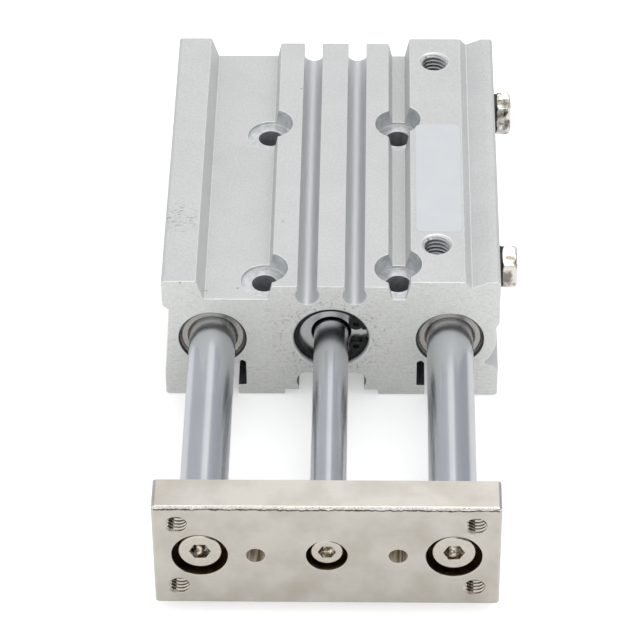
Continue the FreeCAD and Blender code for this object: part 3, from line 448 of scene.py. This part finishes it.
def in_guide_mouth(spot, normal):
    """On the chamfer and the wall of a guide bore, in front of its bush."""
    reach = Vector((abs(spot.x) - GUIDE_X, spot.z - AXIS_Z)).length
    return (spot.y < block_low.y + GUIDE_MOUTH_DEPTH and abs(normal.y) < 0.9
            and abs(reach - GUIDE_MOUTH_RADIUS) < NEARER)


def any_of(*places):
    """A test that says yes to a face in any of these places."""
    return lambda spot, normal: any(place(spot, normal) for place in places)


refinish_faces(body, unblasted_with_painted_shade, any_of(in_t_slot, in_port))
refinish_faces(body, cutter_bright, any_of(in_bolt_hole, in_counterbore, on_seat))
refinish_faces(body, satin, in_sensor_groove)

# A nearly black ring in front of each bush, in clots of 0.5 mm: dried oil, and painted shade where the bore wall
# meets the bush.
oil_and_painted_shade, shader = new_finish("dried_oil_and_painted_shade", roughness=0.45)
here = add_node(oil_and_painted_shade, "TexCoord").outputs["Object"]
clots = add_node(oil_and_painted_shade, "TexNoise", values={"Scale": per(0.5), "Detail": 3.0}, links={"Vector": here})
follow(oil_and_painted_shade, shader, clots.outputs["Fac"], shades=("#1F1D1B", "#4A4641"), relief=(0.3, 0.03 * MM))
refinish_faces(body, oil_and_painted_shade, in_guide_mouth)


# ---------------------------------------------------------------------------
# Guide bushes: sintered bronze, soaked with oil, four of them pressed into the
# guide bores in pairs. Only the front pair's end faces show, dark and greasy.
# ---------------------------------------------------------------------------

# Sintered bronze: a dull brownish grey metal, fine pores of about 0.1 mm drawn
# at twice that, and a thin smear of oil that makes it glossier in patches.
bronze, shader = new_finish("oiled_sintered_bronze", metallic=1.0)
here = add_node(bronze, "TexCoord").outputs["Object"]
pores = add_node(bronze, "TexNoise", values={"Scale": per(0.2), "Detail": 3.0}, links={"Vector": here})
oil = add_node(bronze, "TexNoise", values={"Scale": per(2.5), "Detail": 2.0}, links={"Vector": here})
follow(bronze, shader, oil.outputs["Fac"], shades=("#D0CECA", "#B3ACA3"))
wet = add_node(bronze, "MapRange", values={"From Min": 0.35, "From Max": 0.65, "To Min": 0.38, "To Max": 0.22},
               links={"Value": oil.outputs["Fac"]})
join(bronze, wet.outputs["Result"], shader.inputs["Roughness"])
follow(bronze, shader, pores.outputs["Fac"], relief=(0.3, 0.02 * MM))


def refinish(finish, *names):
    """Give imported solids, whose shapes are kept, their finish."""
    for name in names:
        nodes[name].material_slots[0].material = finish


refinish(bronze, "guide_bush_front_left", "guide_bush_front_right",
         "guide_bush_inner_left", "guide_bush_inner_right")


# ---------------------------------------------------------------------------
# Rod collar and head cover: turned aluminium discs that close the bore's ends,
# each sealed by a gasket in its groove and held by an internal circlip.
# ---------------------------------------------------------------------------

# Turned aluminium: bright, with the cutter's rings 0.12 mm apart about the bore. A
# wave texture of scale 1 repeats every 0.314.
WAVE_LENGTH = 0.314
turned, shader = new_finish("turned_aluminium", metallic=1.0)
here = add_node(turned, "TexCoord").outputs["Object"]
centred = add_node(turned, "Mapping", values={"Location": (0, 0, -AXIS_Z)}, links={"Vector": here})
rings = add_node(turned, "TexWave", {"wave_type": "RINGS", "rings_direction": "Y"},
                 {"Scale": WAVE_LENGTH * per(0.12), "Distortion": 0.6, "Detail": 1.0},
                 {"Vector": centred.outputs["Vector"]})
bloom = add_node(turned, "TexNoise", values={"Scale": per(3), "Detail": 2.0}, links={"Vector": here})
follow(turned, shader, bloom.outputs["Fac"], shades=("#C9CAC8", "#E2E3E2"))
follow(turned, shader, rings.outputs["Fac"], roughness=(0.2, 0.34), relief=(0.25, 0.01 * MM))
refinish(turned, "head_cover")
collar = copy_solid("rod_collar", "turned_collar", 0.08 * MM, turned)
finish_piece(collar, "cylinder", "bright_aluminium", "rod_collar")

# Phosphated spring steel: nearly black, satin, with an oily bloom.
phosphated, shader = new_finish("phosphated_spring_steel", metallic=0.6)
here = add_node(phosphated, "TexCoord").outputs["Object"]
bloom = add_node(phosphated, "TexNoise", values={"Scale": per(0.9), "Detail": 4.0}, links={"Vector": here})
follow(phosphated, shader, bloom.outputs["Fac"],
       shades=("#17191A", "#2C2E2F"), roughness=(0.28, 0.5), relief=(0.2, 0.02 * MM))
for end in ("collar", "cover"):
    circlip = copy_solid(end + "_retaining_ring", end + "_circlip", 0.12 * MM, phosphated)
    finish_piece(circlip, "cylinder", "phosphated_steel", end + "_retaining_ring")

# Nitrile rubber: black and dull, with a fine moulded grain of 0.15 mm, drawn twice
# as coarse as it is.
nitrile, shader = new_finish("moulded_nitrile", metallic=0.0)
here = add_node(nitrile, "TexCoord").outputs["Object"]
grain = add_node(nitrile, "TexNoise", values={"Scale": per(0.3), "Detail": 2.0}, links={"Vector": here})
follow(nitrile, shader, grain.outputs["Fac"], shades=("#131415", "#232425"), roughness=(0.42, 0.6))
refinish(nitrile, "rod_seal", "collar_gasket", "cover_gasket",
         "plug_gasket_front", "plug_gasket_rear", "piston_seal")


# ---------------------------------------------------------------------------
# Piston parts: a turned piston and magnet holder, a ferrite ring magnet and two
# urethane bumpers, stacked on the rod's end. They are inside the bore and show
# only if the part is opened.
# ---------------------------------------------------------------------------

refinish(turned, "piston", "magnet_holder")
for name, colours, rough, members in (
        ("pressed_ferrite", ("#2A2B2D", "#3A3B3D"), 0.55, ["piston_magnet"]),
        ("cast_urethane", ("#B08A3C", "#C49C4A"), 0.4, ["rod_side_bumper", "head_side_bumper"])):
    inner, shader = new_finish(name, roughness=rough)
    here = add_node(inner, "TexCoord").outputs["Object"]
    grain = add_node(inner, "TexNoise", values={"Scale": per(0.6), "Detail": 3.0}, links={"Vector": here})
    follow(inner, shader, grain.outputs["Fac"], shades=colours)
    refinish(inner, *members)


# ---------------------------------------------------------------------------
# Guide rods and piston rod: carbon steel bars, hard chromed and ground round.
# They are screwed to the plate at their front ends.
# ---------------------------------------------------------------------------

# Hard chrome, centreless ground: a bluish grey satin mirror, with the wheel's
# marks round it about 0.15 mm apart, drawn twice as coarse as they are.
chromed, shader = new_finish("ground_hard_chrome", metallic=1.0)
here = add_node(chromed, "TexCoord").outputs["Object"]
stretch = add_node(chromed, "Mapping", values={"Scale": (per(4), per(0.3), per(4))}, links={"Vector": here})
marks = add_node(chromed, "TexNoise", values={"Scale": 1.0, "Detail": 3.0, "Roughness": 0.6},
                 links={"Vector": stretch.outputs["Vector"]})
film = add_node(chromed, "TexNoise", values={"Scale": per(7), "Detail": 2.0}, links={"Vector": here})
follow(chromed, shader, film.outputs["Fac"], shades=("#C9CCD1", "#D4D7DB"))
spread = add_node(chromed, "MapRange", values={"From Min": 0.3, "From Max": 0.7, "To Min": 0.22, "To Max": 0.26},
                  links={"Value": marks.outputs["Fac"]})
join(chromed, spread.outputs["Result"], shader.inputs["Roughness"])
follow(chromed, shader, marks.outputs["Fac"], relief=(0.02, 0.01 * MM))
refinish(chromed, "guide_rod_left", "guide_rod_right", "piston_rod")


# ---------------------------------------------------------------------------
# Tooling plate: a bright-drawn steel bar, sawn, milled and nickel plated. It has
# four M4 taps, two pin holes and three counterbores for the bolts of the rods.
# ---------------------------------------------------------------------------

# Satin nickel over drawn steel: a warm pale grey, faintly clouded, with fine
# draw marks along the bar, 0.2 mm apart and drawn at twice that.
nickelled, shader = new_finish("satin_nickel_plate", metallic=1.0)
here = add_node(nickelled, "TexCoord").outputs["Object"]
clouds = add_node(nickelled, "TexNoise", values={"Scale": per(7), "Detail": 4.0, "Roughness": 0.55},
                  links={"Vector": here})
cloud_spread = add_node(nickelled, "MapRange", values={"From Min": 0.25, "From Max": 0.6},
                        links={"Value": clouds.outputs["Fac"]})
stretch = add_node(nickelled, "Mapping", values={"Scale": (per(8), per(0.4), per(0.4))}, links={"Vector": here})
draw_marks = add_node(nickelled, "TexNoise", values={"Scale": 1.0, "Detail": 3.0},
                      links={"Vector": stretch.outputs["Vector"]})
tone = add_node(nickelled, "Mix", {"data_type": "RGBA"}, {6: linear("#C0B9AE"), 7: linear("#D3CFC7")},
                {0: cloud_spread.outputs["Result"]})
spread = add_node(nickelled, "MapRange", values={"From Min": 0.3, "From Max": 0.7, "To Min": 0.34, "To Max": 0.46},
                  links={"Value": draw_marks.outputs["Fac"]})
relief = add_node(nickelled, "Bump", values={"Strength": 0.15, "Distance": 0.02 * MM},
                  links={"Height": draw_marks.outputs["Fac"]})

# The saw's burr was rolled over along the plate's top front edge, 0.4 mm wide with waves 1 mm long: it is painted as
# a bright highlight, with a broken dark line of painted shade under it.
plate_low, plate_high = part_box("tooling_plate")
corner = add_node(nickelled, "SeparateXYZ", links={"Vector": here})
burr_waves = add_node(nickelled, "TexNoise", values={"Scale": per(1.0), "Detail": 3.0, "Roughness": 0.65},
                      links={"Vector": here})
wavy_height = add_node(nickelled, "Math", {"operation": "MULTIPLY_ADD"}, {1: 0.9 * MM},
                       {0: burr_waves.outputs["Fac"], 2: corner.outputs["Z"]})
to_front = add_node(nickelled, "MapRange",
                    values={"From Min": plate_low.y + 0.2 * MM, "From Max": plate_low.y + 0.35 * MM,
                            "To Min": 1.0, "To Max": 0.0},
                    links={"Value": corner.outputs["Y"]})
to_top = add_node(nickelled, "MapRange",
                  values={"From Min": plate_high.z - 0.08 * MM, "From Max": plate_high.z + 0.02 * MM},
                  links={"Value": wavy_height.outputs[0]})
burr_and_painted_highlight = add_node(nickelled, "Math", {"operation": "MULTIPLY"},
                links={0: to_front.outputs["Result"], 1: to_top.outputs["Result"]})
under_burr = add_node(nickelled, "MapRange",
                      values={"From Min": plate_high.z - 0.42 * MM, "From Max": plate_high.z - 0.22 * MM},
                      links={"Value": wavy_height.outputs[0]})
painted_shade_band = add_node(nickelled, "Math", {"operation": "SUBTRACT"},
                     links={0: under_burr.outputs["Result"], 1: to_top.outputs["Result"]})
painted_shade_line = add_node(nickelled, "Math", {"operation": "MULTIPLY"},
                     links={0: painted_shade_band.outputs[0], 1: to_front.outputs["Result"]})
painted_shade_under_burr = add_node(nickelled, "Mix", {"data_type": "RGBA"}, {7: linear("#4E4740")},
                 {0: painted_shade_line.outputs[0], 6: tone.outputs[2]})
painted_burr_highlight = add_node(nickelled, "Mix", {"data_type": "RGBA"}, {7: linear("#FFFDFA")},
                      {0: burr_and_painted_highlight.outputs[0], 6: painted_shade_under_burr.outputs[2]})
join(nickelled, painted_burr_highlight.outputs[2], shader.inputs["Base Color"])
burr_shine = add_node(nickelled, "Mix", {"data_type": "FLOAT"}, {3: 0.12},
                      {0: burr_and_painted_highlight.outputs[0], 2: spread.outputs["Result"]})
join(nickelled, burr_shine.outputs[0], shader.inputs["Roughness"])
burr_height = add_node(nickelled, "Math", {"operation": "MULTIPLY"},
                       links={0: burr_and_painted_highlight.outputs[0], 1: burr_waves.outputs["Fac"]})
burr_relief = add_node(nickelled, "Bump", values={"Strength": 1.0, "Distance": 0.6 * MM},
                       links={"Height": burr_height.outputs[0], "Normal": relief.outputs["Normal"]})
join(nickelled, burr_relief.outputs["Normal"], shader.inputs["Normal"])

# Bright nickel: a warm mirror with faint heading marks of about 0.9 mm. It is on
# the plate's rubbed edges and tapped threads, and on the screws all over.
bright_nickel, shader = new_finish("bright_nickel_on_steel", metallic=1.0)
here = add_node(bright_nickel, "TexCoord").outputs["Object"]
dents = add_node(bright_nickel, "TexNoise", values={"Scale": per(0.9), "Detail": 2.0}, links={"Vector": here})
follow(bright_nickel, shader, dents.outputs["Fac"],
       shades=("#C6BFB3", "#DDD8CF"), roughness=(0.08, 0.2), relief=(0.3, 0.03 * MM))

plate = copy_solid("tooling_plate", "nickelled_plate", 0.12 * MM, nickelled, bright_nickel)
tap_spots = [(x * MM, z * MM) for x in (-24, 24) for z in (6, 20)]
cut_with(plate, [thread_tool(M4, tap_core, 6.9 * MM, (x, plate_low.y - 0.3 * MM, z), REARWARD)
                 for x, z in tap_spots])
finish_piece(plate, "carriage", "nickel_plate", "tooling_plate", smooth_below=28)

# Nickel plates thinly and dark in a recess, and oil dries there: a deep brown
# stain in blotches of 1.3 mm.
stained, shader = new_finish("stained_nickel_in_recesses", metallic=1.0)
here = add_node(stained, "TexCoord").outputs["Object"]
blotches = add_node(stained, "TexNoise", values={"Scale": per(1.3), "Detail": 3.0}, links={"Vector": here})
follow(stained, shader, blotches.outputs["Fac"], shades=("#574338", "#8F7862"), roughness=(0.25, 0.45))

# Reamed pin holes: plating too thin to shine, brownish, with streaks along the
# hole where the reamer's flutes ran, 0.5 mm apart.
reamed, shader = new_finish("streaked_nickel_in_pin_holes", metallic=0.4)
here = add_node(reamed, "TexCoord").outputs["Object"]
along = add_node(reamed, "Mapping", values={"Scale": (per(0.5), per(8), per(0.5))}, links={"Vector": here})
flute_marks = add_node(reamed, "TexNoise", values={"Scale": 1.0, "Detail": 2.0},
                       links={"Vector": along.outputs["Vector"]})
streak = add_node(reamed, "MapRange", values={"From Min": 0.4, "From Max": 0.6},
                  links={"Value": flute_marks.outputs["Fac"]})
tone = add_node(reamed, "Mix", {"data_type": "RGBA"}, {6: linear("#8F8269"), 7: linear("#E3DBC9")},
                {0: streak.outputs["Result"]})
join(reamed, tone.outputs[2], shader.inputs["Base Color"])
follow(reamed, shader, flute_marks.outputs["Fac"], roughness=(0.3, 0.5))


def off_axis(point, x):
    """How far a point is from the plate's bolt axis at this x."""
    return Vector((point.x - x, point.z - AXIS_Z)).length


# Each counterbore's and hole's axis, and a radius that takes in its wall.
counterbores = ((-GUIDE_X, 4.7 * MM), (GUIDE_X, 4.7 * MM), (0, 3.5 * MM))
pin_holes = ((-11.5 * MM, 1.7 * MM), (11.5 * MM, 1.7 * MM))
tap_reach = 2.15 * MM
refinish_faces(plate, stained, lambda spot, normal: plate_low.y + 0.25 * MM < spot.y < plate_high.y - 0.1 * MM
               and any(off_axis(spot, x) < reach for x, reach in counterbores))
refinish_faces(plate, bright_nickel, lambda spot, normal: spot.y > plate_low.y + 0.15 * MM
               and any(Vector((spot.x - x, spot.z - z)).length < tap_reach for x, z in tap_spots))
refinish_faces(plate, reamed, lambda spot, normal: spot.y > plate_low.y + 0.2 * MM
               and any(off_axis(spot, x) < reach for x, reach in pin_holes))


# ---------------------------------------------------------------------------
# Cap screws and port plugs: cold-headed steel, nickel plated and left bright.
# The screws sit in the plate's counterbores; the plugs close the side ports.
# ---------------------------------------------------------------------------

# Nickel thrown into a small socket is thin and brownish, mottled in blotches of 0.9 mm with near-white painted
# highlights and dark painted shade, and the broach's marks along it 0.35 mm apart.
dull_nickel, shader = new_finish("dull_nickel_in_holes", metallic=1.0)
here = add_node(dull_nickel, "TexCoord").outputs["Object"]
blotches = add_node(dull_nickel, "TexNoise", values={"Scale": per(0.9), "Detail": 2.0}, links={"Vector": here})
along = add_node(dull_nickel, "Mapping", values={"Scale": (per(0.35), per(6), per(0.35))}, links={"Vector": here})
broach_marks = add_node(dull_nickel, "TexNoise", values={"Scale": 1.0, "Detail": 2.0},
                        links={"Vector": along.outputs["Vector"]})
sharp = add_node(dull_nickel, "MapRange", values={"From Min": 0.42, "From Max": 0.58},
                 links={"Value": blotches.outputs["Fac"]})
painted_glints_and_shade = add_node(dull_nickel, "Mix", {"data_type": "RGBA"}, {6: linear("#756855"), 7: linear("#FAF5EC")},
                  {0: sharp.outputs["Result"]})
streak = add_node(dull_nickel, "MapRange",
                  values={"From Min": 0.35, "From Max": 0.65, "To Min": 0.7, "To Max": 1.1},
                  links={"Value": broach_marks.outputs["Fac"]})
streaked = add_node(dull_nickel, "VectorMath", {"operation": "SCALE"},
                    links={0: painted_glints_and_shade.outputs[2], "Scale": streak.outputs["Result"]})
join(dull_nickel, streaked.outputs["Vector"], shader.inputs["Base Color"])
follow(dull_nickel, shader, blotches.outputs["Fac"], roughness=(0.04, 0.14))
follow(dull_nickel, shader, broach_marks.outputs["Fac"], relief=(0.6, 0.03 * MM))

# The plugs' nickel is the same mirror over a hammered hexagon, with dents 2.6 mm across, and patches of 1.7 mm
# darkened as painted reflections of dark surroundings.
hammered, shader = new_finish("bright_nickel_on_hammered_hexagon", metallic=1.0)
here = add_node(hammered, "TexCoord").outputs["Object"]
dents = add_node(hammered, "TexNoise", values={"Scale": per(2.6), "Detail": 0.5, "Distortion": 0.5},
                 links={"Vector": here})
painted_dark_reflections = add_node(hammered, "TexNoise", values={"Scale": per(1.7), "Detail": 2.0}, links={"Vector": here})
sharp = add_node(hammered, "MapRange", values={"From Min": 0.42, "From Max": 0.56},
                 links={"Value": painted_dark_reflections.outputs["Fac"]})
tone = add_node(hammered, "Mix", {"data_type": "RGBA"}, {6: linear("#8C867B"), 7: linear("#ECE8E1")},
                {0: sharp.outputs["Result"]})
join(hammered, tone.outputs[2], shader.inputs["Base Color"])
follow(hammered, shader, dents.outputs["Fac"], roughness=(0.04, 0.16), relief=(1.0, 0.45 * MM))

SOCKET_DEPTH = 2.4 * MM
# Each screw's axis, and a radius that takes in its socket.
for name, x, reach in (("guide_bolt_left", -GUIDE_X, 1.85 * MM), ("guide_bolt_right", GUIDE_X, 1.85 * MM),
                       ("plate_bolt", 0, 1.55 * MM)):
    screw = copy_solid(name, name.replace("bolt", "cap_screw"), 0.16 * MM, bright_nickel)
    finish_piece(screw, "carriage", "nickel_fastener", name)
    head_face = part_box(name)[0].y
    refinish_faces(screw, dull_nickel, lambda spot, normal: off_axis(spot, x) < reach
                   and head_face + 0.15 * MM < spot.y < head_face + SOCKET_DEPTH)
for end in ("front", "rear"):
    plug = copy_solid("port_plug_" + end, "side_port_plug_" + end, 0.12 * MM, hammered)
    finish_piece(plug, "cylinder", "nickel_fastener", "port_plug_" + end)


# ---------------------------------------------------------------------------
# Rating label: a white film sticker with rounded corners, left blank. It lies
# on the port strip, between the front port and the rear bolt hole.
# ---------------------------------------------------------------------------

# White vinyl film: bluish white, smooth, with a very slight ripple in the film.
film_white, shader = new_finish("white_vinyl_film", roughness=0.38)
here = add_node(film_white, "TexCoord").outputs["Object"]
ripple = add_node(film_white, "TexNoise", values={"Scale": per(3), "Detail": 1.0}, links={"Vector": here})
follow(film_white, shader, ripple.outputs["Fac"], shades=("#C9CCD0", "#CFD3D6"), relief=(0.15, 0.02 * MM))

label_x, label_y = (14.65 * MM, 22.6 * MM), (-11.55 * MM, 18.35 * MM)
label_thickness, corner_radius, glue_line = 0.06 * MM, 1.1 * MM, 0.002 * MM
bpy.ops.mesh.primitive_plane_add(size=1, location=(sum(label_x) / 2, sum(label_y) / 2, block_high.z + glue_line))
label = bpy.context.object
label.name = label.data.name = "blank_label"
label.scale = (label_x[1] - label_x[0], label_y[1] - label_y[0], 1)
apply_place(label)
edit(label, "VERT")
bpy.ops.mesh.select_all(action="SELECT")
bpy.ops.mesh.bevel(offset=corner_radius, segments=8, affect="VERTICES")
bpy.ops.mesh.select_all(action="SELECT")
bpy.ops.mesh.extrude_region_move(TRANSFORM_OT_translate={"value": (0, 0, label_thickness)})
bpy.ops.mesh.select_all(action="SELECT")
bpy.ops.mesh.normals_make_consistent(inside=False)
leave_edit(label)
label.data.materials.append(film_white)
finish_piece(label, "cylinder", None)


# ---------------------------------------------------------------------------
# Studio: a white floor that keeps the part's shadow, a white room, one large
# soft lamp above and behind the part, a fill lamp in front of it, and grey
# boards and black cards that only the metals' reflections see.
# ---------------------------------------------------------------------------

floor_paint, shader = new_finish("white_floor_paint", roughness=0.8)
shader.inputs["Base Color"].default_value = linear("#F4F4F4")
rays = add_node(floor_paint, "LightPath")
glow = add_node(floor_paint, "Emission", links={"Strength": rays.outputs["Is Camera Ray"]})
glow.inputs["Color"].default_value = (0.38, 0.38, 0.38, 1)
both = add_node(floor_paint, "AddShader", links={0: shader.outputs[0], 1: glow.outputs[0]})
join(floor_paint, both.outputs[0], floor_paint.node_tree.nodes["Material Output"].inputs["Surface"])
bpy.ops.mesh.primitive_plane_add(size=12, location=(0, 0, -0.1 * MM))
floor = bpy.context.object
floor.name = "floor"
floor.data.materials.append(floor_paint)

# Each board: its paint, its corners across and along the ground, and its foot and top.
for name, paint, start, end, foot, top in (
        ("back_board_left", (0.60, 0.61, 0.64, 1), (-1.20, 0.62), (-0.16, 0.62), 0.0, 1.0),
        ("back_board_right", (0.48, 0.49, 0.52, 1), (0.16, 0.62), (1.20, 0.62), 0.0, 1.0),
        ("dark_card_right", (0.01, 0.01, 0.01, 1), (0.40, -0.30), (0.40, 0.20), 0.10, 0.42),
        ("dark_card_front", (0.01, 0.01, 0.01, 1), (0.045, -0.35), (0.30, -0.35), 0.0, 0.20)):
    board_paint = bpy.data.materials.new(name + "_paint")
    board_paint.use_nodes = True
    plain = add_node(board_paint, "Emission")
    plain.inputs["Color"].default_value = paint
    join(board_paint, plain.outputs[0], board_paint.node_tree.nodes["Material Output"].inputs["Surface"])
    across = Vector((end[0] - start[0], end[1] - start[1], 0))
    bpy.ops.mesh.primitive_plane_add(size=1)
    board = bpy.context.object
    board.name = name
    board.scale = (across.length, top - foot, 1)
    board.rotation_euler = (pi / 2, 0, across.to_2d().angle_signed(Vector((1, 0))))
    board.location = ((start[0] + end[0]) / 2, (start[1] + end[1]) / 2, (foot + top) / 2)
    board.data.materials.append(board_paint)
    board.visible_camera = board.visible_diffuse = board.visible_shadow = False

world = bpy.data.worlds.new("white_room")
bpy.context.scene.world = world
world.use_nodes = True
room = world.node_tree.nodes["Background"]
room.inputs["Color"].default_value = (0.79, 0.795, 0.80, 1)
seen = add_node(world, "Background")
seen.inputs["Color"].default_value = (1, 1, 1, 1)
rays = add_node(world, "LightPath")
camera_or_gloss = add_node(world, "Math", {"operation": "MAXIMUM"},
                           links={0: rays.outputs["Is Camera Ray"], 1: rays.outputs["Is Glossy Ray"]})
seen_rays = add_node(world, "Math", {"operation": "MAXIMUM"},
                     links={0: camera_or_gloss.outputs[0], 1: rays.outputs["Is Transmission Ray"]})
mixed = add_node(world, "MixShader", links={0: seen_rays.outputs[0], 1: room.outputs[0], 2: seen.outputs[0]})
join(world, mixed.outputs[0], world.node_tree.nodes["World Output"].inputs["Surface"])

for name, spot, aim, size, power in (
        ("key_lamp", (0.12, 0.12, 0.68), (0, -0.01, 0.01), 0.5, 1.15),
        ("fill_lamp", (0.10, -0.80, 0.16), (0, -0.02, 0.01), 0.6, 4.2)):
    bpy.ops.object.light_add(type="AREA", location=spot)
    lamp = bpy.context.object
    lamp.name = name
    lamp.data.size, lamp.data.energy = size, power
    lamp.visible_glossy = name == "key_lamp"
    lamp.rotation_euler = (Vector(aim) - Vector(spot)).to_track_quat("-Z", "Y").to_euler()

# The camera looks down on the front at 42 degrees, from over half a metre away.
bpy.ops.object.camera_add(location=(7.87 * MM, -452.75 * MM, 397.96 * MM),
                          rotation=[radians(a) for a in (48.345, 0.442, 0.915)])
camera = bpy.context.object
camera.data.sensor_width, camera.data.lens = 36, 187.3
camera.data.clip_start, camera.data.clip_end = 0.05, 20
bpy.context.scene.camera = camera
bpy.context.scene.view_settings.view_transform = "Standard"
